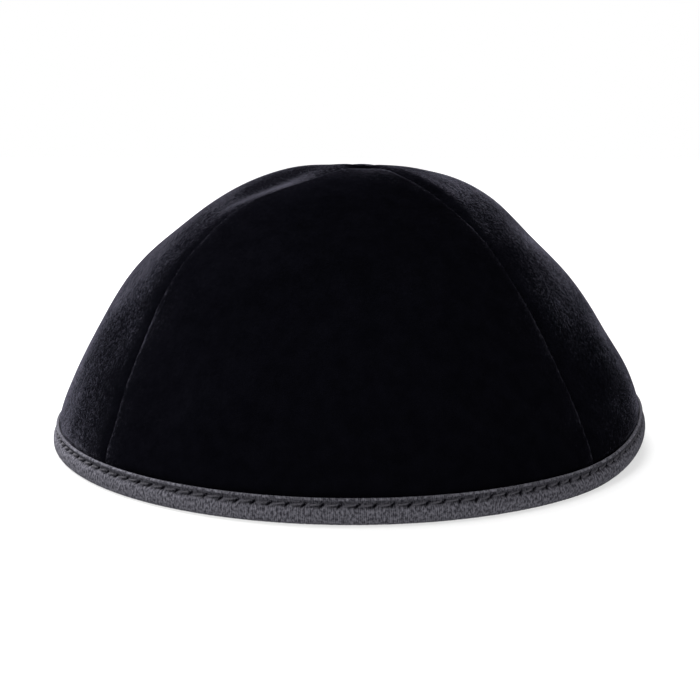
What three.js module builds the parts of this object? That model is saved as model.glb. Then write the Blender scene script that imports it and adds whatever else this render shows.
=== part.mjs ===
// A four-panel velvet skullcap. Four cloth panels are sewn edge to edge into a dome, and a woven
// tape is folded over the rim. The cap rests on the fold of the tape, with its crown up.
// Millimetres and degrees, +Z up. The front panel faces -Y, and the origin lies on the surface
// that the cap rests on, under the middle of the rim.
import * as THREE from "three";

// Driving dimensions
const VELVET_THICKNESS = 1.6; // pile, ground cloth and backing together
const TAPE_THICKNESS = 1.0; // one leaf of the tape, with its edge turned under
const TAPE_HEIGHT = 5.4; // from the surface to the tape's upper edge, outside and inside
const TAPE_ROUND = 1.1; // radius of the fold's two corners
const TAPE_EDGE_ROUND = 0.4; // radius of the tape's upper edges
const CLEARANCE = 0.3; // between pieces that are sewn together
const HEM_SQUEEZE = 0.45; // how far the tape presses the pile in
const HEM_SWELL = 1.2; // height above the tape over which the pile stands up again

// Seams between the panels
const ROLL_DEPTH = 1.2; // how far the turned-in edge stands out inside
const ROLL_WIDTH = 2.5; // from the seam to where the turned-in edge ends
const ROLL_START = [6, 9]; // heights between which the turned-in edge rises out of the tape
const TWIST = -3.3; // how far the seams are turned about the cap's axis, halfway up

// The velvet's outside, with a row for each elevation seen from the middle of the rim: the distance
// to it along a seam and along a panel's middle, how much fuller and how much flatter some panels'
// middles are, and how far the section has swayed towards +X and leant towards -Y.
const SECTIONS = [
  { elevation: 0, seam: 74.4, middle: 74.4, fuller: 0.0, flatter: 0.0, sway: 0.0, lean: 0.0 },
  { elevation: 5, seam: 73.8, middle: 73.8, fuller: 0.0, flatter: 0.0, sway: 0.0, lean: 0.0 },
  { elevation: 12, seam: 71.6, middle: 72.3, fuller: 0.0, flatter: 0.0, sway: 0.3, lean: 0.0 },
  { elevation: 24, seam: 69.1, middle: 69.8, fuller: 0.1, flatter: 0.2, sway: 0.4, lean: 0.0 },
  { elevation: 36, seam: 68.5, middle: 68.7, fuller: 0.2, flatter: 0.6, sway: -0.1, lean: 0.4 },
  { elevation: 48, seam: 68.3, middle: 67.7, fuller: 0.6, flatter: 1.2, sway: -0.1, lean: 1.5 },
  { elevation: 60, seam: 68.0, middle: 67.9, fuller: 1.8, flatter: 2.0, sway: -0.1, lean: 3.0 },
  { elevation: 75, seam: 67.1, middle: 69.4, fuller: -0.4, flatter: 3.0, sway: 2.1, lean: 5.0 },
  { elevation: 90, seam: 68.2, middle: 68.2, fuller: 0.0, flatter: 0.0, sway: 3.6, lean: 6.0 },
];

// The panels, each with the compass directions of its two seams at the rim, counted from +X towards
// +Y, its share of the fuller and flatter columns, and how deep and how wide its seams draw it in.
const PANELS = [
  { name: "panel_right", from: -44, to: 45, fuller: 1, flatter: 0, dip: 0.7, dipWidth: 3.0 },
  { name: "panel_back", from: 45, to: 135, fuller: 0.7, flatter: 0, dip: 0.3, dipWidth: 1.6 },
  { name: "panel_left", from: 135, to: 224, fuller: 0, flatter: 0, dip: 0.7, dipWidth: 3.6 },
  { name: "panel_front", from: 224, to: 316, fuller: 0, flatter: 1, dip: 0.25, dipWidth: 1.6 },
];

// Folds beside the seam at a panel's from or to side: the elevations where one begins, is at its height
// and ends, how far it stands out at two distances from the seam, and what it leaves of the seam's dip.
const FOLDS = [
  { panel: "panel_left", side: "to", low: 54, full: 72, high: 88,
    near: -1.3, nearAt: 6, far: -0.1, farAt: 13, dip: 0 },
  { panel: "panel_right", side: "from", low: 50, full: 70, high: 86,
    near: 0.3, nearAt: 3.5, far: -0.3, farAt: 12, dip: 0.8 },
];

// The stretch of rim that stands off the surface
const LIFT_HEIGHT = 4.5;
const LIFT_FACING = 0; // compass direction of its middle
const LIFT_SPREAD = 50; // from its middle to where the rim is down again
const LIFT_FADE = 25; // elevation at which the velvet no longer follows it

// Facets
const ROWS_UP_PANEL = 16;
const TOP_ROWS = [84, 87.5]; // elevations of the last two rows below the tip
const HALF_COLUMNS = [1, 0.97, 0.93, 0.84, 0.7, 0.56, 0.42, 0.28, 0.14]; // share of the way to a seam
const TAPE_FACETS = 96;
const ROUND_FACETS = 3;

const radians = THREE.MathUtils.degToRad;
const { clamp, euclideanModulo, lerp, smoothstep } = THREE.MathUtils;

// The slope of a column of SECTIONS at a row. The dome is level at its crown.
function slopeAt(row, column) {
  if (row === SECTIONS.length - 1) return 0;
  const before = SECTIONS[Math.max(row - 1, 0)];
  const after = SECTIONS[row + 1];
  return (after[column] - before[column]) / (after.elevation - before.elevation);
}

// A column of SECTIONS at any elevation, on a smooth curve through its rows.
function section(column, elevation) {
  const last = SECTIONS.length - 2;
  const above = SECTIONS.findIndex((row) => row.elevation > elevation);
  const low = above < 0 ? last : clamp(above - 1, 0, last);
  const [from, to] = [SECTIONS[low], SECTIONS[low + 1]];
  const span = to.elevation - from.elevation;
  const t = (elevation - from.elevation) / span;
  const rise = t * t * (3 - 2 * t);
  const leave = t * (1 - t) * (1 - t) * span * slopeAt(low, column);
  const arrive = t * t * (t - 1) * span * slopeAt(low + 1, column);
  return lerp(from[column], to[column], rise) + leave + arrive;
}

// 1 at a seam, falling to 0 at the given width from it.
function nearSeam(fromSeam, width) {
  return Math.max(0, 1 - fromSeam / width) ** 2;
}

// 1 in the middle, falling to nearly 0 at an offset of 1.
function bell(offset) {
  return Math.exp(-2.5 * offset * offset);
}

// How far the rim stands off the surface in a compass direction, in radians.
function rimLift(azimuth) {
  const away = euclideanModulo(azimuth - radians(LIFT_FACING) + Math.PI, 2 * Math.PI) - Math.PI;
  const share = Math.min(1, Math.abs(away) / radians(LIFT_SPREAD));
  return LIFT_HEIGHT * Math.cos((share * Math.PI) / 2) ** 2;
}

// How far a panel stands out in its folds, and the share of the nearer seam's dip that is left, for the
// distances from its two seams and the side of the nearer one.
function folds(panel, fromSeams, side, elevation) {
  const fold = { out: 0, dip: 1 };
  for (const row of FOLDS.filter((candidate) => candidate.panel === panel.name)) {
    const rise = smoothstep(elevation, row.low, row.full) * (1 - smoothstep(elevation, row.full, row.high));
    const distance = fromSeams[row.side];
    const near = row.near * bell((distance - row.nearAt) / row.nearAt);
    const far = row.far * bell((distance - row.farAt) / (row.farAt - row.nearAt));
    fold.out += rise * (near + far);
    if (side === row.side) fold.dip *= 1 - rise * (1 - row.dip);
  }
  return fold;
}

// A point of a panel. across runs from -1 at one seam to 1 at the other; inside is true for the
// cloth's back. The panel stops half a clearance short of each seam.
function panelPoint(panel, across, elevation, inside) {
  const seam = section("seam", elevation);
  const radius = seam * Math.cos(radians(elevation));
  const height = seam * Math.sin(radians(elevation));
  const stopShort = Math.asin(Math.min(CLEARANCE / 2 / radius, Math.SQRT1_2));
  const halfWidth = radians(panel.to - panel.from) / 2 - stopShort;
  const turn = across * halfWidth;
  const fromSeams = { from: (1 + across) * halfWidth * radius, to: (1 - across) * halfWidth * radius };
  const side = across < 0 ? "from" : "to";
  const fromSeam = fromSeams[side];

  const fuller = panel.fuller * section("fuller", elevation);
  const flatter = panel.flatter * section("flatter", elevation);
  const fold = folds(panel, fromSeams, side, elevation);
  const middle = section("middle", elevation) + fuller - flatter;
  let distance = lerp(seam, middle, Math.cos((across * Math.PI) / 2)) + fold.out;
  if (inside) {
    const roll = ROLL_DEPTH * smoothstep(height, ...ROLL_START);
    distance -= VELVET_THICKNESS + roll * nearSeam(fromSeam, ROLL_WIDTH);
  } else {
    const groove = panel.dip * fold.dip * nearSeam(fromSeam, panel.dipWidth);
    const squeeze = HEM_SQUEEZE * (1 - smoothstep(height, TAPE_HEIGHT, TAPE_HEIGHT + HEM_SWELL));
    distance -= Math.max(groove, squeeze);
  }

  const facing = (panel.from + panel.to) / 2 + TWIST * Math.sin(2 * radians(elevation));
  const azimuth = radians(facing) + turn;
  const outward = distance * Math.cos(radians(elevation));
  const lift = rimLift(azimuth) * (1 - smoothstep(elevation, 0, LIFT_FADE));
  return [
    outward * Math.cos(azimuth) + section("sway", elevation),
    outward * Math.sin(azimuth) - section("lean", elevation),
    distance * Math.sin(radians(elevation)) + lift,
  ];
}

// The elevation of the velvet's outside at a height near the rim.
function elevationAtHeight(height) {
  return THREE.MathUtils.radToDeg(Math.atan2(height, SECTIONS[0].seam));
}

// Elevations of a panel's rows, from its hem in the fold of the tape up to the row under its tip.
function panelRows() {
  const hem = [TAPE_THICKNESS + CLEARANCE, TAPE_HEIGHT, TAPE_HEIGHT + HEM_SWELL].map(elevationAtHeight);
  const start = hem[hem.length - 1];
  const rows = [...hem];
  for (let i = 1; i < ROWS_UP_PANEL; i++) {
    rows.push(lerp(start, TOP_ROWS[0], i / ROWS_UP_PANEL));
  }
  return [...rows, ...TOP_ROWS];
}

// A panel as one closed solid: a grid for the outside, one for the inside, and the edges between.
function panelGeometry(panel) {
  const rows = panelRows();
  const columns = [...HALF_COLUMNS.map((share) => -share), 0, ...HALF_COLUMNS.slice().reverse()];
  const tipRadius = CLEARANCE / 2 / Math.SQRT1_2;
  const crown = SECTIONS[SECTIONS.length - 1].seam;
  const tip = 90 - THREE.MathUtils.radToDeg(Math.asin(tipRadius / crown));
  const positions = [];
  const triangles = [];
  const perSide = rows.length * columns.length + 1;

  for (const inside of [false, true]) {
    for (const elevation of rows) {
      for (const across of columns) positions.push(...panelPoint(panel, across, elevation, inside));
    }
    positions.push(...panelPoint(panel, 0, tip, inside));
  }

  const vertex = (side, row, column) => side * perSide + row * columns.length + column;
  const tipVertex = (side) => (side + 1) * perSide - 1;
  const quad = (a, b, c, d) => triangles.push(a, b, c, a, c, d);
  const topRow = rows.length - 1;
  const lastColumn = columns.length - 1;

  for (let column = 0; column < lastColumn; column++) {
    for (let row = 0; row < topRow; row++) {
      const corners = (side) => [
        vertex(side, row, column),
        vertex(side, row, column + 1),
        vertex(side, row + 1, column + 1),
        vertex(side, row + 1, column),
      ];
      quad(...corners(0));
      quad(...corners(1).reverse());
    }
    triangles.push(vertex(0, topRow, column), vertex(0, topRow, column + 1), tipVertex(0));
    triangles.push(vertex(1, topRow, column + 1), vertex(1, topRow, column), tipVertex(1));
    quad(vertex(1, 0, column), vertex(1, 0, column + 1), vertex(0, 0, column + 1), vertex(0, 0, column));
  }
  for (const column of [0, lastColumn]) {
    const edge = [0, 1].map((side) => [...rows.keys()].map((row) => vertex(side, row, column)));
    edge.forEach((line, side) => line.push(tipVertex(side)));
    for (let row = 0; row <= topRow; row++) {
      const face = [edge[0][row], edge[0][row + 1], edge[1][row + 1], edge[1][row]];
      quad(...(column === 0 ? face : face.reverse()));
    }
  }

  const geometry = new THREE.BufferGeometry();
  geometry.setAttribute("position", new THREE.Float32BufferAttribute(positions, 3));
  geometry.setIndex(triangles);
  geometry.computeVertexNormals();
  return geometry;
}

// The folded tape's section, turned round the rim and lifted with it. It is drawn as offsets from the
// line of the velvet's outside, which leans in a little as it rises.
function tapeGeometry() {
  const [foot, next] = SECTIONS;
  const lean = (foot.seam - next.seam * Math.cos(radians(next.elevation))) /
    (next.seam * Math.sin(radians(next.elevation)));
  const slotOuter = CLEARANCE - HEM_SQUEEZE;
  const slotInner = -VELVET_THICKNESS - CLEARANCE;
  const outer = slotOuter + TAPE_THICKNESS;
  const inner = slotInner - TAPE_THICKNESS;

  const outline = new THREE.Path();
  outline.moveTo(inner + TAPE_ROUND, 0);
  outline.lineTo(outer - TAPE_ROUND, 0);
  outline.quadraticCurveTo(outer, 0, outer, TAPE_ROUND);
  outline.lineTo(outer, TAPE_HEIGHT - TAPE_EDGE_ROUND);
  outline.quadraticCurveTo(outer, TAPE_HEIGHT, outer - TAPE_EDGE_ROUND, TAPE_HEIGHT);
  outline.lineTo(slotOuter, TAPE_HEIGHT);
  outline.lineTo(slotOuter, TAPE_THICKNESS);
  outline.lineTo(slotInner, TAPE_THICKNESS);
  outline.lineTo(slotInner, TAPE_HEIGHT);
  outline.lineTo(inner + TAPE_EDGE_ROUND, TAPE_HEIGHT);
  outline.quadraticCurveTo(inner, TAPE_HEIGHT, inner, TAPE_HEIGHT - TAPE_EDGE_ROUND);
  outline.lineTo(inner, TAPE_ROUND);
  outline.quadraticCurveTo(inner, 0, inner + TAPE_ROUND, 0);

  const profile = outline
    .getPoints(ROUND_FACETS)
    .map((p) => new THREE.Vector2(foot.seam - lean * p.y + p.x, p.y));
  const geometry = new THREE.LatheGeometry(profile, TAPE_FACETS).rotateX(Math.PI / 2);
  const position = geometry.getAttribute("position");
  for (let i = 0; i < position.count; i++) {
    const azimuth = Math.atan2(position.getY(i), position.getX(i));
    position.setZ(i, position.getZ(i) + rimLift(azimuth));
  }
  return geometry;
}

const velvet = new THREE.MeshStandardMaterial({ color: 0x0b0b10, roughness: 1, metalness: 0 });
const tape = new THREE.MeshStandardMaterial({ color: 0x4e4c54, roughness: 0.9, metalness: 0 });

const crown = new THREE.Group();
for (const panel of PANELS) {
  const mesh = new THREE.Mesh(panelGeometry(panel), velvet.clone());
  mesh.name = panel.name;
  crown.add(mesh);
}

const binding = new THREE.Mesh(tapeGeometry(), tape);
binding.name = "rim_binding";

const skullcap = new THREE.Group();
skullcap.add(crown, binding);

export default skullcap;
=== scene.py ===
"""A four-panel velvet skullcap, with a woven tape folded over its rim and stitched through.

Sizes are in millimetres and degrees, and become metres when a mesh is made. The cap stands on its
rim at the origin, +Z is up, and the front panel faces -Y.
"""

import math

import bpy
import numpy as np
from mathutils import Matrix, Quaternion, Vector


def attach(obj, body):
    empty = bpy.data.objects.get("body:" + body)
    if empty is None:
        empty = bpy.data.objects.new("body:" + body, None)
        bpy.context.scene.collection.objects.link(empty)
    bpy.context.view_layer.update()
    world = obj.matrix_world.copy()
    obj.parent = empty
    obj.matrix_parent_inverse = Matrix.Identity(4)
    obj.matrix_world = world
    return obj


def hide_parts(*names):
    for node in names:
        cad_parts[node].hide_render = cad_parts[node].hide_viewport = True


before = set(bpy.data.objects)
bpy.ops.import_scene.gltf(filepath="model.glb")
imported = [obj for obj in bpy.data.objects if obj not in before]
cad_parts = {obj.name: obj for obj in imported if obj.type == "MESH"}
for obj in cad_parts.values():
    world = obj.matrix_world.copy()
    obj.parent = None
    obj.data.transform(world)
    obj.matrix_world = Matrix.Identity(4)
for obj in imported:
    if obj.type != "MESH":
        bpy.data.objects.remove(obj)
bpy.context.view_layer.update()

MM = 0.001
TURN = 2 * math.pi

# The camera
CAMERA_DISTANCE = 287.6  # from the middle of the rim
CAMERA_AZIMUTH = -0.65
CAMERA_ELEVATION = 15.26
CAMERA_AIM = (0.17, 0.0, 20.33)
CAMERA_ROLL = 0.2
FIELD_OF_VIEW = 35.68
NEAREST_SEEN = 10

# The studio, with a row for each soft light: its place, the length of its sides and its power in watts
LIGHTS = [
    dict(name="top", place=(-100, 350, 850), size=700, power=17),
    dict(name="key", place=(-850, -150, 450), size=500, power=5),
    dict(name="fill", place=(150, -800, 500), size=500, power=4),
    dict(name="rim", place=(-550, 400, 500), size=400, power=13),
]
LIGHT_AIM = (0, 0, 30)
SKY_LIGHT = 0.14  # how much of the white backdrop falls on the cap
FLOOR_HALF = 3000  # from the floor's middle to its edges
FLOOR_COLOUR = (0.3, 0.3, 0.3)
FLOOR_GLOW = ((0.6, 0.6, 0.6), (1, 1, 1))  # near the cap and away from it
FLOOR_GLOW_AT = (0.1, 0.7)  # in metres from the floor's middle

# The velvet's outside, with a row for each elevation seen from the middle of the rim: the distance
# to it along a seam and along a panel's middle, how much fuller and how much flatter some panels'
# middles are, and how far the section has swayed towards +X and leant towards -Y.
SECTIONS = [
    dict(elevation=0, seam=74.4, middle=74.4, fuller=0.0, flatter=0.0, sway=0.0, lean=0.0),
    dict(elevation=5, seam=73.8, middle=73.8, fuller=0.0, flatter=0.0, sway=0.0, lean=0.0),
    dict(elevation=12, seam=71.6, middle=72.3, fuller=0.0, flatter=0.0, sway=0.3, lean=0.0),
    dict(elevation=24, seam=69.1, middle=69.8, fuller=0.1, flatter=0.2, sway=0.4, lean=0.0),
    dict(elevation=36, seam=68.5, middle=68.7, fuller=0.2, flatter=0.6, sway=-0.1, lean=0.4),
    dict(elevation=48, seam=68.3, middle=67.7, fuller=0.6, flatter=1.2, sway=-0.1, lean=1.5),
    dict(elevation=60, seam=68.0, middle=67.9, fuller=1.8, flatter=2.0, sway=-0.1, lean=3.0),
    dict(elevation=75, seam=67.1, middle=69.4, fuller=-0.4, flatter=3.0, sway=2.1, lean=5.0),
    dict(elevation=90, seam=68.2, middle=68.2, fuller=0.0, flatter=0.0, sway=3.6, lean=6.0),
]
SEAM_TWIST = -3.3  # how far the seams are turned about the cap's axis, halfway up

# The panels, each with the compass directions of its two seams at the rim, counted from +X towards
# +Y, its share of the fuller and flatter columns, how deep and how wide its seams draw it in, how far
# its pile is brushed down towards the rim high up and towards its end seam low down, and the width,
# length and area it is cut to.
PANELS = [
    dict(node="panel_right", start=-44, end=45, fuller=1, flatter=0, dip=0.7, dip_width=3.0,
         nap=0, sweep=-7, cut=(115, 106, 7500)),
    dict(node="panel_back", start=45, end=135, fuller=0.7, flatter=0, dip=0.3, dip_width=1.6,
         nap=0, sweep=0, cut=(117, 114, 7900)),
    dict(node="panel_left", start=135, end=224, fuller=0, flatter=0, dip=0.7, dip_width=3.6,
         nap=0, sweep=0, cut=(115, 113, 7600)),
    dict(node="panel_front", start=224, end=316, fuller=0, flatter=1, dip=0.18, dip_width=1.6,
         nap=25, sweep=0, cut=(119, 103, 7500)),
]
NAP_SPAN = (15, 72, 72, 90)  # elevations between which a brushed pile lies down, and stands up again
SWEEP_SPAN = (18, 42)  # elevations between which a pile swept sideways stands up

# Folds beside the seam at a panel's start or end: the elevations where one begins, is at its height
# and ends, how far it stands out at two distances from the seam, what it leaves of the seam's dip,
# and how far it brushes the pile down, with the middle and the width of that stripe of pile.
FOLDS = [
    dict(node="panel_left", side="end", low=54, full=72, high=88,
         near=-1.3, near_at=6, far=-0.1, far_at=13, dip=0, nap=-24, nap_at=3, nap_width=6),
    dict(node="panel_right", side="start", low=50, full=70, high=86,
         near=0.3, near_at=3.5, far=-0.3, far_at=12, dip=0.8, nap=25, nap_at=1.4, nap_width=2.8),
    dict(node="panel_right", side="start", low=56, full=78, high=92,
         near=0, near_at=3.5, far=0, far_at=12, dip=1, nap=-22, nap_at=5.5, nap_width=3.5),
]

# The stretch of rim that stands off the floor
LIFT_HEIGHT = 4.5
LIFT_FACING = 0  # compass direction of its middle
LIFT_SPREAD = 50  # from its middle to where the rim is down again
LIFT_FADE = 25  # elevation at which the velvet no longer follows it

# The velvet's shape
VELVET_THICKNESS = 1.6
VELVET_GAP = 0.04  # between two panels at a seam
CROWN_DIP = 1.2  # how far the seams draw the crown in on its front, where they meet
CROWN_WIDTH = 8  # from the tip to where that dip ends
CROWN_FRONT = (0, 0.7)  # how far forward it sets in and is full, from 0 at the sides to 1 in front
PUCKERS = [dict(pitch=2.4, share=0.16), dict(pitch=6.1, share=0.12)]  # the pull of the seam's stitches
ROLL_DEPTH = 1.2  # how far the turned-in edge stands out inside
ROLL_WIDTH = 2.5
ROLL_START = (6, 9)  # heights between which the turned-in edge rises out of the tape
HEM_BOTTOM = 1.3  # height of the velvet's lower edge, inside the tape
HEM_SQUEEZE = 0.40  # how far the tape presses the velvet in
HEM_SWELL = 1.4  # from the top of the tape to where the velvet is full again

# The velvet's slight unevenness, a sum of waves, each with the way it runs and where it starts
WAVES = [
    dict(way=(1.9, 0.7, 1.1), start=0.4),
    dict(way=(-0.8, 1.7, 1.3), start=2.1),
    dict(way=(1.2, -1.5, 0.9), start=4.4),
]
WAVE_RATE = 0.12  # radians a millimetre, for a way of length 1
UNEVENNESS = 0.25
UNEVEN_START = (5.4, 16.2)  # heights between which it sets in

# The velvet's mesh
PANEL_ROWS = 240
PANEL_COLUMNS = 115
COLUMN_CROWDING = 1.8  # columns crowd towards the seams by this power

# The tape
TAPE_HEIGHT = 5.4
RIB_PITCH = 0.4
RIB_HEIGHT = 0.05
RIB_SPREAD = (0.5, 1.4)  # the least and the most height of a rib, as shares of it
RIB_STRAY = 0.3  # how far a rib's crest or valley strays, as a share of the step between them
RIB_SAMPLES = 2
RIB_SEED = 11
STRIP = (3.95, 4.25, 4.85, 5.15)  # heights between which the tape lies pressed flat above its stitches, with shade painted on it
# share of the strip's ribs that is pressed flat, and share of the painted shade that darkens it
STRIP_PRESS_AND_SHADE = 0.5

# The stitches, their needle holes and the creases that they press into the tape, with shade painted into
# the holes and creases
STITCH_ROWS = [
    dict(name="stitches_outside", offset=0.22, outward=1),
    dict(name="stitches_inside", offset=-2.45, outward=-1),
]
STITCH_PITCH = 3.5
STITCH_HEIGHT = 3.98
STITCH_SLANT = 0.4  # how far a stitch climbs from one needle hole to the next
SLANT_SPREAD = (0.6, 1.4)  # the least and the most climb of a stitch, as shares of it
STITCH_WANDER = 0.07  # how far a stitch strays from the row
STITCH_REACH = 0.38  # from a stitch's middle to its ends, as a share of the pitch
STITCH_RISE = 0.08  # how far its middle stands out
STITCH_DIVE = 0.3  # how far its ends dive past the bottom of their holes
STITCH_SEED = 5
HOLE_DEPTH = 0.5
HOLE_LENGTH = 0.8
HOLE_WIDTH = 0.3
HOLE_TILT = 30
CREASE_DROP = 0.32  # from a stitch down to its crease
CREASE_WIDTH = 0.17
# how deep a crease is pressed in, and how dark its painted shadow under the stitch is
CREASE_PRESS_AND_SHADE = 0.85
CREASE_START = (-0.9, 0.6)  # where along a stitch its crease sets in and is full, from -1 to 1
THREAD_RADIUS = 0.22
THREAD_STEPS = 18  # along a stitch
THREAD_SIDES = 10
THREAD_TAPER = 0.8  # how much of its section is lost at the ends of a stitch
PLY_SWELL = 0.14  # how far the two plies make the thread wider and narrower, as a share
PLY_TWIST = 5.0  # radians that they turn from a stitch's middle to its ends

# The tape's section from the top of its inside leaf, down round the fold and up its outside leaf, as
# offsets from the line of the velvet's outside. Points stand closer where fine is larger.
TAPE_SECTION = [
    dict(offset=-1.90, height=5.15, fine=1),
    dict(offset=-2.20, height=5.40, fine=1),
    dict(offset=-2.62, height=5.30, fine=1),
    dict(offset=-2.78, height=4.85, fine=1),
    dict(offset=-2.45, height=4.00, fine=1),
    dict(offset=-2.85, height=3.05, fine=1),
    dict(offset=-2.98, height=2.00, fine=1),
    dict(offset=-2.80, height=0.95, fine=1),
    dict(offset=-2.35, height=0.25, fine=1),
    dict(offset=-1.70, height=0.00, fine=1),
    dict(offset=-0.35, height=0.00, fine=1),
    dict(offset=0.30, height=0.20, fine=1),
    dict(offset=0.80, height=0.85, fine=1),
    dict(offset=1.02, height=1.75, fine=1),
    dict(offset=1.04, height=2.55, fine=2),
    dict(offset=0.82, height=3.25, fine=3),
    dict(offset=0.20, height=3.85, fine=3),
    dict(offset=0.20, height=4.25, fine=3),
    dict(offset=0.42, height=4.70, fine=3),
    dict(offset=0.70, height=5.06, fine=3),
    dict(offset=0.68, height=5.32, fine=3),
    dict(offset=0.42, height=5.44, fine=2),
    dict(offset=0.10, height=5.35, fine=1),
    dict(offset=-0.10, height=5.10, fine=1),
]
TAPE_SLOT = [dict(offset=-0.12, height=1.05), dict(offset=-1.90, height=1.05)]
TAPE_SECTION_POINTS = 40
STEPS_BETWEEN_ROWS = 12  # for the smooth curve through them

# Colours, each as the dark and the light of a cloth
PILE_COLOURS = ((0.0013, 0.0013, 0.0021), (0.0019, 0.0019, 0.0030))
BACK_COLOURS = ((0.006, 0.006, 0.008), (0.012, 0.011, 0.015))
TAPE_COLOURS = ((0.024, 0.0235, 0.029), (0.135, 0.132, 0.153))
THREAD_COLOURS = ((0.036, 0.035, 0.042), (0.085, 0.082, 0.096))
PAINTED_SHADE_COLOUR = (0.001, 0.001, 0.002)  # painted shade of the tape in its needle holes and under its stitches, and half of it on the pressed strip above them

# The pile's looks. Stray and relief are given for marks of so many cells a metre.
PILE_STRAY = {1300: 0.29, 75: 0.24}  # how far tufts and marks of handling lean away from the brushed way
PILE_RELIEF = {200: 0.12, 3600: 0.14}  # depth of its waves and of its hairs
SHEEN_WEIGHT = 0.21
SHEEN_ROUGHNESS = 0.195
SHEEN_TINT = (0.80, 0.78, 1.0)

# The weave of the velvet's back and the yarns of the tape
WEAVE_CELLS = 2.2  # in a millimetre
WEAVE_DEPTH = 0.04
YARN_CELLS = (0.9, 1.4, 1.0)  # in a rib, and in a millimetre across the tape
YARN_DEPTH = 0.06
CREST_DEPTH = 0.015
CREST_SHARE = 0.1  # of the tape's light and dark, the rest coming from its yarns


def section(column, elevation):
    """A column of SECTIONS at the given elevations, on a smooth curve that is level at the crown."""
    at = np.array([row["elevation"] for row in SECTIONS], float)
    value = np.array([row[column] for row in SECTIONS], float)
    slope = np.zeros_like(value)
    slope[0] = (value[1] - value[0]) / (at[1] - at[0])
    slope[1:-1] = (value[2:] - value[:-2]) / (at[2:] - at[:-2])
    low = np.clip(np.searchsorted(at, elevation, side="right") - 1, 0, len(at) - 2)
    span = at[low + 1] - at[low]
    t = (elevation - at[low]) / span
    rise = t * t * (3 - 2 * t)
    leave = t * (1 - t) ** 2 * span * slope[low]
    arrive = t * t * (t - 1) * span * slope[low + 1]
    return value[low] + (value[low + 1] - value[low]) * rise + leave + arrive


def smooth_step(value, low, high):
    """0 up to low, 1 from high on, and a smooth rise between them."""
    t = np.clip((value - low) / (high - low), 0, 1)
    return t * t * (3 - 2 * t)


def plateau(value, low, full, fading, high):
    """1 from full to fading, and a smooth fall to 0 at low and at high."""
    return smooth_step(value, low, full) * (1 - smooth_step(value, fading, high))


def bell(offset):
    """1 in the middle, falling to nearly 0 at an offset of 1."""
    return np.exp(-2.5 * offset ** 2)


def near_seam(from_seam, width):
    """1 at a seam, falling to 0 at the given width from it."""
    return np.maximum(0, 1 - from_seam / width) ** 2


def undulation(points):
    """The cloth's slight unevenness at the given points, from -1 to 1."""
    total = sum(np.sin(points @ np.array(row["way"]) * WAVE_RATE + row["start"]) for row in WAVES)
    return total / len(WAVES)


def rim_lift(azimuth):
    """How far the rim stands off the floor in a compass direction, in radians."""
    away = (azimuth - math.radians(LIFT_FACING) + math.pi) % TURN - math.pi
    share = np.minimum(1, np.abs(away) / math.radians(LIFT_SPREAD))
    return LIFT_HEIGHT * np.cos(share * math.pi / 2) ** 2


def folds(panel, from_seams, elevation):
    """How far a panel stands out in its folds, the share of the nearer seam's dip that is left, and
    how far the folds brush the pile down, in degrees."""
    out, dip, nap = np.zeros_like(elevation), np.ones_like(elevation), np.zeros_like(elevation)
    nearer = np.minimum(from_seams["start"], from_seams["end"])
    for row in FOLDS:
        if row["node"] == panel["node"]:
            distance = from_seams[row["side"]]
            near = row["near"] * bell((distance - row["near_at"]) / row["near_at"])
            far = row["far"] * bell((distance - row["far_at"]) / (row["far_at"] - row["near_at"]))
            rise = plateau(elevation, row["low"], row["full"], row["full"], row["high"])
            out = out + rise * (near + far)
            dip = dip * np.where(distance == nearer, 1 - rise * (1 - row["dip"]), 1)
            nap = nap + rise * row["nap"] * bell((distance - row["nap_at"]) / row["nap_width"])
    return out, dip, nap


def brushing(panel, fold_nap, elevation):
    """How far a panel's pile leans towards its end seam and towards the rim, as slopes."""
    nap = np.tan(np.radians(fold_nap + panel["nap"] * plateau(elevation, *NAP_SPAN)))
    sweep = np.tan(math.radians(panel["sweep"])) * (1 - smooth_step(elevation, *SWEEP_SPAN))
    return np.stack([sweep, nap], axis=-1)


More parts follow.
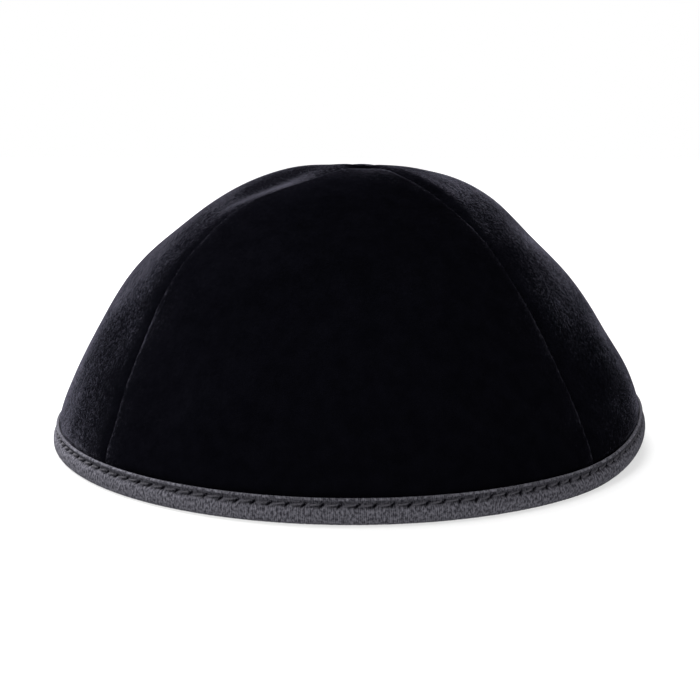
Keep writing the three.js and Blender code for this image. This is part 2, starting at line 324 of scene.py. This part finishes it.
def panel_face(panel, across, elevation, inside):
    """Points of a panel's outside or inside, for arrays of across (-1 to 1, seam to seam) and elevation.

    Their places on the flat cloth and how far the pile is brushed there come with them."""
    rise = np.radians(elevation)
    seam = section("seam", elevation)
    radius = seam * np.cos(rise)
    height = seam * np.sin(rise)
    # The panel comes to a point where the gaps along its two seams meet.
    stop_short = np.arcsin(np.minimum(VELVET_GAP / 2 / radius, math.sqrt(0.5)))
    half_width = math.radians(panel["end"] - panel["start"]) / 2 - stop_short
    turn = across * half_width
    facing = (panel["start"] + panel["end"]) / 2
    azimuth = np.radians(facing + SEAM_TWIST * np.sin(2 * rise)) + turn
    from_seams = dict(start=(1 + across) * half_width * radius, end=(1 - across) * half_width * radius)
    from_seam = np.minimum(from_seams["start"], from_seams["end"])
    along_seam = seam * rise

    middle = section("middle", elevation) + panel["fuller"] * section("fuller", elevation)
    middle = middle - panel["flatter"] * section("flatter", elevation)
    distance = seam + (middle - seam) * np.cos(across * math.pi / 2)
    fold, dip, fold_nap = folds(panel, from_seams, elevation)
    crown = CROWN_DIP * bell(radius / CROWN_WIDTH) * smooth_step(-np.sin(azimuth), *CROWN_FRONT)
    distance = distance + fold - crown
    if inside:
        roll = ROLL_DEPTH * smooth_step(height, *ROLL_START)
        distance = distance - VELVET_THICKNESS - roll * near_seam(from_seam, ROLL_WIDTH)
    else:
        pull = 1 + sum(row["share"] * np.cos(TURN * along_seam / row["pitch"]) for row in PUCKERS)
        groove = panel["dip"] * dip * pull * near_seam(from_seam, panel["dip_width"])
        squeeze = HEM_SQUEEZE * (1 - smooth_step(height, TAPE_HEIGHT, TAPE_HEIGHT + HEM_SWELL))
        distance = distance - np.maximum(groove, squeeze)

    flat = distance * np.cos(rise)
    points = np.stack([flat * np.cos(azimuth), flat * np.sin(azimuth), distance * np.sin(rise)], axis=-1)
    away = points / np.linalg.norm(points, axis=-1, keepdims=True)
    uneven = UNEVENNESS * undulation(points) * smooth_step(height, *UNEVEN_START)
    points = points + uneven[..., None] * away
    points[..., 0] += section("sway", elevation)
    points[..., 1] -= section("lean", elevation)
    points[..., 2] += rim_lift(azimuth) * (1 - smooth_step(elevation, 0, LIFT_FADE))
    flat_map = np.stack([turn * radius, along_seam], axis=-1)
    return points, flat_map, brushing(panel, fold_nap, elevation)


def grid_faces(rows, columns):
    """Quads of a grid of points that is stored row by row."""
    first = np.arange((rows - 1) * columns).reshape(rows - 1, columns)[:, :-1]
    quads = np.stack([first, first + 1, first + columns + 1, first + columns], axis=-1)
    return quads.reshape(-1, 4)


def make_piece(name, points, faces, materials, face_material=0, flat_faces=False, corner_map=None):
    """A mesh object from points in millimetres.

    corner_map places the corners of its faces on the flat cloth."""
    mesh = bpy.data.meshes.new(name)
    mesh.from_pydata((points * MM).tolist(), [], [list(map(int, face)) for face in faces])
    for material in materials:
        mesh.materials.append(material)
    count = len(mesh.polygons)
    mesh.polygons.foreach_set("material_index", np.broadcast_to(face_material, count).astype(np.int32))
    mesh.polygons.foreach_set("use_smooth", ~np.broadcast_to(flat_faces, count))
    if corner_map is not None:
        mesh.uv_layers.new(name="cloth").data.foreach_set("uv", corner_map.astype(np.float32).ravel())
    mesh.update()
    piece = bpy.data.objects.new(name, mesh)
    bpy.context.scene.collection.objects.link(piece)
    return piece


def point_values(piece, name, values):
    """A number for each of a piece's points, for its material to read."""
    attribute = piece.data.attributes.new(name, "FLOAT", "POINT")
    attribute.data.foreach_set("value", values.astype(np.float32).ravel())


# Kinds of a panel's faces
PILE_SIDE, BACK_SIDE, EDGE = 0, 1, 2


def make_panel(panel, materials):
    """One velvet panel: its pile side, its back and the edges between them, closed."""
    low = math.degrees(math.atan2(HEM_BOTTOM, SECTIONS[0]["seam"]))
    crown = SECTIONS[-1]["seam"]
    tip = 90 - math.degrees(math.asin(VELVET_GAP / math.sqrt(2) / crown))
    rows = np.linspace(low, tip, PANEL_ROWS + 1)
    t = np.linspace(-1, 1, PANEL_COLUMNS)
    across = np.sign(t) * (1 - (1 - np.abs(t)) ** COLUMN_CROWDING)
    grid_across, grid_rows = np.meshgrid(across, rows[:-1])

    points, flat_map, brush, faces, kinds = [], [], [], [], []
    per_side = grid_rows.size + 1
    quads = grid_faces(PANEL_ROWS, PANEL_COLUMNS)
    top = (PANEL_ROWS - 1) * PANEL_COLUMNS + np.arange(PANEL_COLUMNS - 1)
    fan = np.stack([top, top + 1, np.full_like(top, per_side - 1)], axis=-1)
    for side in (PILE_SIDE, BACK_SIDE):
        inside = side == BACK_SIDE
        face_points, face_map, face_brush = panel_face(panel, grid_across, grid_rows, inside)
        tip_point, tip_map, tip_brush = panel_face(panel, np.zeros(1), rows[-1:], inside)
        points += [face_points.reshape(-1, 3), tip_point]
        flat_map += [face_map.reshape(-1, 2), tip_map]
        brush += [face_brush.reshape(-1, 2), tip_brush]
        for part in (quads, fan):
            faces += list((part[:, ::-1] if inside else part) + side * per_side)
            kinds += [side] * len(part)

    edge_column = np.arange(PANEL_ROWS) * PANEL_COLUMNS
    hem = np.arange(PANEL_COLUMNS)
    left = np.append(edge_column, per_side - 1)
    right = np.append(edge_column + PANEL_COLUMNS - 1, per_side - 1)
    for line in (hem[::-1], left, right[::-1]):
        start, end = line[:-1], line[1:]
        strip = np.stack([start, end, end + per_side, start + per_side], axis=-1)
        faces += list(strip)
        kinds += [EDGE] * len(strip)

    kinds = np.array(kinds)
    corner_map = np.concatenate(flat_map)[np.concatenate(faces)]
    piece = make_piece("velvet_" + panel["node"], np.concatenate(points), faces, materials,
                       kinds == BACK_SIDE, kinds == EDGE, corner_map)
    for name, values in zip(("sweep", "nap"), np.concatenate(brush).T):
        point_values(piece, name, values)
    return piece


def smooth_line(rows, count):
    """Points along a smooth curve through a section's rows, closer where the fine column is larger."""
    knots = np.array([[row["offset"], row["height"], row["fine"]] for row in rows])
    padded = np.concatenate([2 * knots[:1] - knots[1:2], knots, 2 * knots[-1:] - knots[-2:-1]])
    t = np.linspace(0, 1, STEPS_BETWEEN_ROWS, endpoint=False)[:, None]
    dense = []
    for p, a, b, n in zip(padded, padded[1:], padded[2:], padded[3:]):
        dense.append(a + 0.5 * t * (b - p + t * (2 * p - 5 * a + 4 * b - n + t * (3 * (a - b) + n - p))))
    line = np.concatenate([*dense, knots[-1:]])
    step = np.linalg.norm(np.diff(line[:, :2], axis=0), axis=1) * line[:-1, 2]
    place = np.append(0, np.cumsum(step))
    even = np.linspace(0, place[-1], count)
    return np.stack([np.interp(even, place, line[:, i]) for i in range(2)], axis=-1)


def wall_line(height):
    """Radius of the velvet's outside near the rim, which leans in as it rises."""
    low, high = SECTIONS[:2]
    rise = math.radians(high["elevation"])
    lean = (low["seam"] - high["seam"] * math.cos(rise)) / (high["seam"] * math.sin(rise))
    return low["seam"] - lean * height


RIM_LENGTH = TURN * wall_line(STITCH_HEIGHT)
STITCH_COUNT = round(RIM_LENGTH / STITCH_PITCH)
RIB_COUNT = round(RIM_LENGTH / RIB_PITCH)

# How far each stitch lies above the row, and how steeply it climbs
stitch_rng = np.random.default_rng(STITCH_SEED)
STITCH_RAISE = stitch_rng.normal(0, STITCH_WANDER, STITCH_COUNT)
STITCH_CLIMB = STITCH_SLANT * stitch_rng.uniform(*SLANT_SPREAD, STITCH_COUNT)


def stitch_height(number, share):
    """Height of a stitch's thread, for its number and the share of the way along it, from -1 to 1."""
    return STITCH_HEIGHT + STITCH_RAISE[number] + STITCH_CLIMB[number] / 2 * share


def needle_press_and_shade(share, height):
    """1 where the stitches press the tape in, falling to 0 round it. The tape's colour is darkened by it
    as painted shade.

    share counts stitches round the rim. Each needle hole is a slanted cut, sunk in and painted dark as
    shade, each stitch lies over a shallow groove painted dark as its shadow, and a strip above them
    is pressed flat and painted half in shade."""
    hole = np.round(share).astype(int) % STITCH_COUNT
    beside = (share - np.round(share)) * RIM_LENGTH / STITCH_COUNT
    above = height - STITCH_HEIGHT - STITCH_RAISE[hole]
    tilt = math.radians(HOLE_TILT)
    along = beside * math.cos(tilt) + above * math.sin(tilt)
    across = above * math.cos(tilt) - beside * math.sin(tilt)
    # The needle hole, sunk in and painted dark as shade.
    slit_and_shade = np.exp(-(along / HOLE_LENGTH) ** 4 - (across / HOLE_WIDTH) ** 4)
    number = np.floor(share).astype(int) % STITCH_COUNT
    way = 2 * (share - np.floor(share)) - 1
    # Below each stitch a shallow groove, painted dark as the stitch's shadow.
    below = height - stitch_height(number, way) + CREASE_DROP
    crease_and_shadow = CREASE_PRESS_AND_SHADE * np.exp(-(below / CREASE_WIDTH) ** 2) * smooth_step(way, *CREASE_START)
    # The strip above the stitches, pressed flat and painted half in shade.
    strip = STRIP_PRESS_AND_SHADE * plateau(height, *STRIP)
    return np.maximum(np.maximum(slit_and_shade, crease_and_shadow), strip)


def make_tape(materials):
    """The tape, swept round the rim with its ribs, its two leaves and the pull and painted shade of its
    stitches.
    """
    shown = smooth_line(TAPE_SECTION, TAPE_SECTION_POINTS)
    slot = np.array([[row["offset"], row["height"]] for row in TAPE_SLOT])
    outline = np.concatenate([shown, slot])
    out = np.roll(outline, -1, axis=0) - np.roll(outline, 1, axis=0)
    out = np.stack([out[:, 1], -out[:, 0]], axis=-1)
    out /= np.linalg.norm(out, axis=1, keepdims=True)
    on_show = np.arange(len(outline)) < len(shown)

    columns = RIB_COUNT * RIB_SAMPLES
    rng = np.random.default_rng(RIB_SEED)
    angle = (np.arange(columns) + rng.uniform(-RIB_STRAY, RIB_STRAY, columns)) * TURN / columns
    rib = np.cos(TURN * np.arange(columns) / RIB_SAMPLES)[:, None] * RIB_HEIGHT
    rib = rib * rng.uniform(*RIB_SPREAD, (columns, len(outline)))
    share = (angle / TURN * STITCH_COUNT)[:, None]
    # Where the stitches press the tape in, which its material also paints as shade.
    pull = needle_press_and_shade(share, outline[None, :, 1]) * on_show
    swell = (rib * (1 - pull) - HOLE_DEPTH * np.maximum(0, pull - STRIP_PRESS_AND_SHADE)) * on_show
    offset = outline[None, :, 0] + swell * out[None, :, 0]
    height = np.maximum(outline[None, :, 1] + swell * out[None, :, 1], 0)
    radius = wall_line(height) + offset
    height = height + rim_lift(angle)[:, None]
    east, north = np.cos(angle)[:, None], np.sin(angle)[:, None]
    points = np.stack([radius * east, radius * north, height], axis=-1)

    rows = len(outline)
    column, row = np.meshgrid(np.arange(columns), np.arange(rows), indexing="ij")
    steps = [(0, 0), (1, 0), (1, 1), (0, 1)]
    faces = np.stack([(column + i) % columns * rows + (row + j) % rows for i, j in steps], axis=-1)
    length = np.append(0, np.cumsum(np.linalg.norm(np.diff(outline, axis=0), axis=1)))
    length = np.append(length, 2 * length[-1] - length[-2])
    ribs = np.stack([(column + i) / RIB_SAMPLES for i, j in steps], axis=-1)
    across = np.stack([length[row + j] for i, j in steps], axis=-1)
    tape = make_piece("tape", points.reshape(-1, 3), faces.reshape(-1, 4), materials,
                      corner_map=np.stack([ribs, across], axis=-1))
    # The same marks, for the tape's material to paint shade by.
    point_values(tape, "pull", pull)
    return tape


def make_stitches(name, offset, outward, materials):
    """A running row of two-ply stitches on one leaf of the tape, each diving into its needle holes."""
    share = np.linspace(-1, 1, THREAD_STEPS)[None, :]
    count = np.arange(STITCH_COUNT)[:, None]
    angle = (count + 0.5 + STITCH_REACH * share) * TURN / STITCH_COUNT
    height = stitch_height(count, share)
    lift = STITCH_RISE - (HOLE_DEPTH + STITCH_DIVE) * np.abs(share) ** 6
    radius = wall_line(height) + offset + outward * lift
    line = np.stack([radius * np.cos(angle), radius * np.sin(angle), height + rim_lift(angle)], axis=-1)

    along = np.gradient(line, axis=1)
    along /= np.linalg.norm(along, axis=-1, keepdims=True)
    normal = np.stack([np.cos(angle), np.sin(angle), 0 * angle], axis=-1)
    normal -= (normal * along).sum(-1, keepdims=True) * along
    normal /= np.linalg.norm(normal, axis=-1, keepdims=True)
    side = np.cross(along, normal)

    turn = np.arange(THREAD_SIDES) * TURN / THREAD_SIDES
    twist = PLY_TWIST * share[..., None]
    width = THREAD_RADIUS * (1 - PLY_SWELL + PLY_SWELL * np.cos(2 * (turn + twist)))
    width = width * np.sqrt(1 - THREAD_TAPER * share[..., None] ** 8)
    ring = normal[:, :, None] * np.cos(turn)[None, None, :, None]
    ring = ring + side[:, :, None] * np.sin(turn)[None, None, :, None]
    points = line[:, :, None] + ring * width[..., None]

    tube = np.arange(STITCH_COUNT)[:, None, None] * THREAD_STEPS * THREAD_SIDES
    place = tube + np.arange(THREAD_STEPS - 1)[None, :, None] * THREAD_SIDES
    spoke, after = np.arange(THREAD_SIDES), np.roll(np.arange(THREAD_SIDES), -1)
    ahead = place + THREAD_SIDES
    quads = np.stack([place + spoke, place + after, ahead + after, ahead + spoke], axis=-1)
    start = tube[:, 0] + spoke[None, ::-1]
    end = tube[:, 0] + (THREAD_STEPS - 1) * THREAD_SIDES + spoke[None]
    faces = [*quads.reshape(-1, 4), *start, *end]
    return make_piece(name, points.reshape(-1, 3), faces, materials)


# Materials


def new_material(name, roughness, specular):
    """A material, with its nodes, its links and its shader."""
    material = bpy.data.materials.new(name)
    material.use_nodes = True
    nodes = material.node_tree.nodes
    shader = nodes["Principled BSDF"]
    shader.inputs["Roughness"].default_value = roughness
    shader.inputs["Specular IOR Level"].default_value = specular
    return material, nodes, material.node_tree.links, shader


def noise(nodes, links, coordinates, scale, detail=2, axis=None):
    """Noise with about scale cells in a unit, or one of three such fields that differ: X, Y or Z."""
    node = nodes.new("ShaderNodeTexNoise")
    node.inputs["Scale"].default_value = scale
    node.inputs["Detail"].default_value = detail
    links.new(coordinates, node.inputs["Vector"])
    if axis is None:
        return node.outputs["Fac"]
    parts = nodes.new("ShaderNodeSeparateXYZ")
    links.new(node.outputs["Color"], parts.inputs["Vector"])
    return parts.outputs[axis]


def ramp(nodes, links, value, places, colours):
    """The first colour up to the first place, the second from the second place on, blended between."""
    node = nodes.new("ShaderNodeValToRGB")
    for element, place, colour in zip(node.color_ramp.elements, places, colours):
        element.position = place
        element.color = (*colour, 1)
    links.new(value, node.inputs["Fac"])
    return node.outputs["Color"]


def math_node(nodes, links, operation, *values):
    """The result of a Math node on sockets and numbers."""
    node = nodes.new("ShaderNodeMath")
    node.operation = operation
    for socket, value in zip(node.inputs, values):
        if isinstance(value, (int, float)):
            socket.default_value = value
        else:
            links.new(value, socket)
    return node.outputs["Value"]


def point_value(nodes, name):
    """What point_values wrote under a name."""
    node = nodes.new("ShaderNodeAttribute")
    node.attribute_name = name
    return node.outputs["Fac"]


def mix_colour(nodes, links, share, first, second):
    """The first colour, from a socket, where share is 0, and the second where it is 1."""
    node = nodes.new("ShaderNodeMix")
    node.data_type = "RGBA"
    colours = [socket for socket in node.inputs if socket.type == "RGBA"]
    links.new(share, node.inputs["Factor"])
    links.new(first, colours[0])
    colours[1].default_value = (*second, 1)
    return next(socket for socket in node.outputs if socket.type == "RGBA")


def bump(nodes, links, shader, *layers, on=None):
    """Relief from (value, millimetres) layers, on a leaning surface if one is given."""
    total = 0.0
    for value, depth in layers:
        total = math_node(nodes, links, "MULTIPLY_ADD", value, depth, total)
    node = nodes.new("ShaderNodeBump")
    node.inputs["Strength"].default_value = 1.0
    node.inputs["Distance"].default_value = MM
    links.new(total, node.inputs["Height"])
    if on is not None:
        links.new(on, node.inputs["Normal"])
    links.new(node.outputs["Normal"], shader.inputs["Normal"])


def brushed_pile(nodes, links, place):
    """The way the pile faces: brushed along its panel, in tufts and with the marks of handling."""
    way = nodes.new("ShaderNodeCombineXYZ")
    way.inputs["Z"].default_value = 1.0
    level = 0.5 - sum(PILE_STRAY.values()) / 2
    for axis, name, share in (("X", "sweep", 0.5), ("Y", "nap", -0.5)):
        total = math_node(nodes, links, "MULTIPLY_ADD", point_value(nodes, name), share, level)
        for scale, stray in PILE_STRAY.items():
            value = noise(nodes, links, place, scale, axis=axis)
            total = math_node(nodes, links, "MULTIPLY_ADD", value, stray, total)
        links.new(total, way.inputs[axis])
    node = nodes.new("ShaderNodeNormalMap")
    node.uv_map = "cloth"
    links.new(way.outputs["Vector"], node.inputs["Color"])
    return node.outputs["Normal"]


def velvet_material():
    """Black pile: dark face on, with a cool sheen where it is seen along the surface."""
    material, nodes, links, shader = new_material("velvet_pile", roughness=1.0, specular=0.0)
    place = nodes.new("ShaderNodeTexCoord").outputs["Object"]
    lay = noise(nodes, links, place, scale=300, detail=5)
    colour = ramp(nodes, links, lay, (0.35, 0.7), PILE_COLOURS)
    links.new(colour, shader.inputs["Base Color"])
    relief = [(noise(nodes, links, place, scale), depth) for scale, depth in PILE_RELIEF.items()]
    bump(nodes, links, shader, *relief, on=brushed_pile(nodes, links, place))
    shader.inputs["Sheen Weight"].default_value = SHEEN_WEIGHT
    shader.inputs["Sheen Roughness"].default_value = SHEEN_ROUGHNESS
    shader.inputs["Sheen Tint"].default_value = (*SHEEN_TINT, 1)
    return material


def backing_material():
    """The velvet's plain woven back."""
    material, nodes, links, shader = new_material("velvet_back", roughness=0.85, specular=0.2)
    cloth = nodes.new("ShaderNodeTexCoord").outputs["UV"]
    weave = nodes.new("ShaderNodeTexChecker")
    weave.inputs["Scale"].default_value = WEAVE_CELLS
    links.new(cloth, weave.inputs["Vector"])
    lay = noise(nodes, links, cloth, scale=0.4, detail=3)
    colour = ramp(nodes, links, lay, (0.3, 0.7), BACK_COLOURS)
    links.new(colour, shader.inputs["Base Color"])
    bump(nodes, links, shader, (weave.outputs["Fac"], WEAVE_DEPTH))
    return material


def tape_material():
    """Charcoal ribbed tape with darker and lighter yarns, and painted shade where its stitches draw it
    in.
    """
    material, nodes, links, shader = new_material("ribbed_tape", roughness=0.85, specular=0.0)
    cloth = nodes.new("ShaderNodeTexCoord").outputs["UV"]
    parts = nodes.new("ShaderNodeSeparateXYZ")
    links.new(cloth, parts.inputs["Vector"])
    turn = math_node(nodes, links, "MULTIPLY", parts.outputs["X"], TURN)
    crest = math_node(nodes, links, "MULTIPLY_ADD", math_node(nodes, links, "COSINE", turn), 0.5, 0.5)
    stretch = nodes.new("ShaderNodeMapping")
    stretch.inputs["Scale"].default_value = YARN_CELLS
    links.new(cloth, stretch.inputs["Vector"])
    yarn = noise(nodes, links, stretch.outputs["Vector"], scale=1.0, detail=3)
    tone = math_node(nodes, links, "MULTIPLY", yarn, 1 - CREST_SHARE)
    tone = math_node(nodes, links, "MULTIPLY_ADD", crest, CREST_SHARE, tone)
    colour = ramp(nodes, links, tone, (0.37, 0.66), TAPE_COLOURS)
    # Painted shade in the needle holes, under the stitches and on the pressed strip.
    shade = mix_colour(nodes, links, point_value(nodes, "pull"), colour, PAINTED_SHADE_COLOUR)
    links.new(shade, shader.inputs["Base Color"])
    bump(nodes, links, shader, (yarn, YARN_DEPTH), (crest, CREST_DEPTH))
    return material


def thread_material():
    """Matt charcoal sewing thread."""
    material, nodes, links, shader = new_material("thread", roughness=0.7, specular=0.2)
    place = nodes.new("ShaderNodeTexCoord").outputs["Object"]
    lay = noise(nodes, links, place, scale=3000)
    colour = ramp(nodes, links, lay, (0.3, 0.7), THREAD_COLOURS)
    links.new(colour, shader.inputs["Base Color"])
    return material


def floor_material():
    """A pale table, lit from below, and more so away from the cap."""
    material, nodes, links, shader = new_material("pale_floor", roughness=1.0, specular=0.0)
    place = nodes.new("ShaderNodeTexCoord").outputs["Object"]
    away = nodes.new("ShaderNodeVectorMath")
    away.operation = "LENGTH"
    links.new(place, away.inputs[0])
    glow = ramp(nodes, links, away.outputs["Value"], FLOOR_GLOW_AT, FLOOR_GLOW)
    links.new(glow, shader.inputs["Emission Color"])
    shader.inputs["Emission Strength"].default_value = 1.0
    shader.inputs["Base Color"].default_value = (*FLOOR_COLOUR, 1)
    return material


# Studio


def make_camera():
    """The camera, at the photograph's viewing angle."""
    azimuth, elevation = math.radians(CAMERA_AZIMUTH), math.radians(CAMERA_ELEVATION)
    level = math.cos(elevation)
    away = Vector((math.sin(azimuth) * level, -math.cos(azimuth) * level, math.sin(elevation)))
    lens = bpy.data.cameras.new("camera")
    lens.angle = math.radians(FIELD_OF_VIEW)
    lens.clip_start = NEAREST_SEEN * MM
    camera = bpy.data.objects.new("camera", lens)
    camera.location = away * CAMERA_DISTANCE * MM
    look = Vector(CAMERA_AIM) * MM - camera.location
    roll = Quaternion((0, 0, 1), math.radians(CAMERA_ROLL))
    camera.rotation_euler = (look.to_track_quat("-Z", "Y") @ roll).to_euler()
    bpy.context.scene.collection.objects.link(camera)
    bpy.context.scene.camera = camera


def make_floor():
    """A square floor that the cap stands on."""
    ways = [(-1, -1, 0), (1, -1, 0), (1, 1, 0), (-1, 1, 0)]
    corners = np.array(ways, float) * FLOOR_HALF
    floor = make_piece("floor", corners, [[0, 1, 2, 3]], [floor_material()])


def soft_light(name, place, size, power):
    """A square lamp that faces the cap."""
    light = bpy.data.lights.new(name, "AREA")
    light.size = size * MM
    light.energy = power
    lamp = bpy.data.objects.new(name, light)
    lamp.location = Vector(place) * MM
    look = Vector(LIGHT_AIM) * MM - lamp.location
    lamp.rotation_euler = look.to_track_quat("-Z", "Y").to_euler()
    bpy.context.scene.collection.objects.link(lamp)


def make_studio():
    """The floor, the lights and a white backdrop that lights the cap less than it shows."""
    make_floor()
    for row in LIGHTS:
        soft_light(**row)
    world = bpy.data.worlds.new("studio")
    world.use_nodes = True
    nodes, links = world.node_tree.nodes, world.node_tree.links
    seen = nodes.new("ShaderNodeLightPath").outputs["Is Camera Ray"]
    strength = math_node(nodes, links, "MULTIPLY_ADD", seen, 1 - SKY_LIGHT, SKY_LIGHT)
    links.new(strength, nodes["Background"].inputs["Strength"])
    nodes["Background"].inputs["Color"].default_value = (1, 1, 1, 1)
    bpy.context.scene.world = world
    bpy.context.scene.view_settings.view_transform = "Standard"


# The cap

make_camera()
make_studio()
pile, back = velvet_material(), backing_material()
tape_cloth, thread = tape_material(), thread_material()

for row in PANELS:
    panel = make_panel(row, [pile, back])
    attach(panel, "root")
    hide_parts(row["node"])

tape = make_tape([tape_cloth])
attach(tape, "root")
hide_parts("rim_binding")

for row in STITCH_ROWS:
    stitches = make_stitches(**row, materials=[thread])
    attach(stitches, "root")
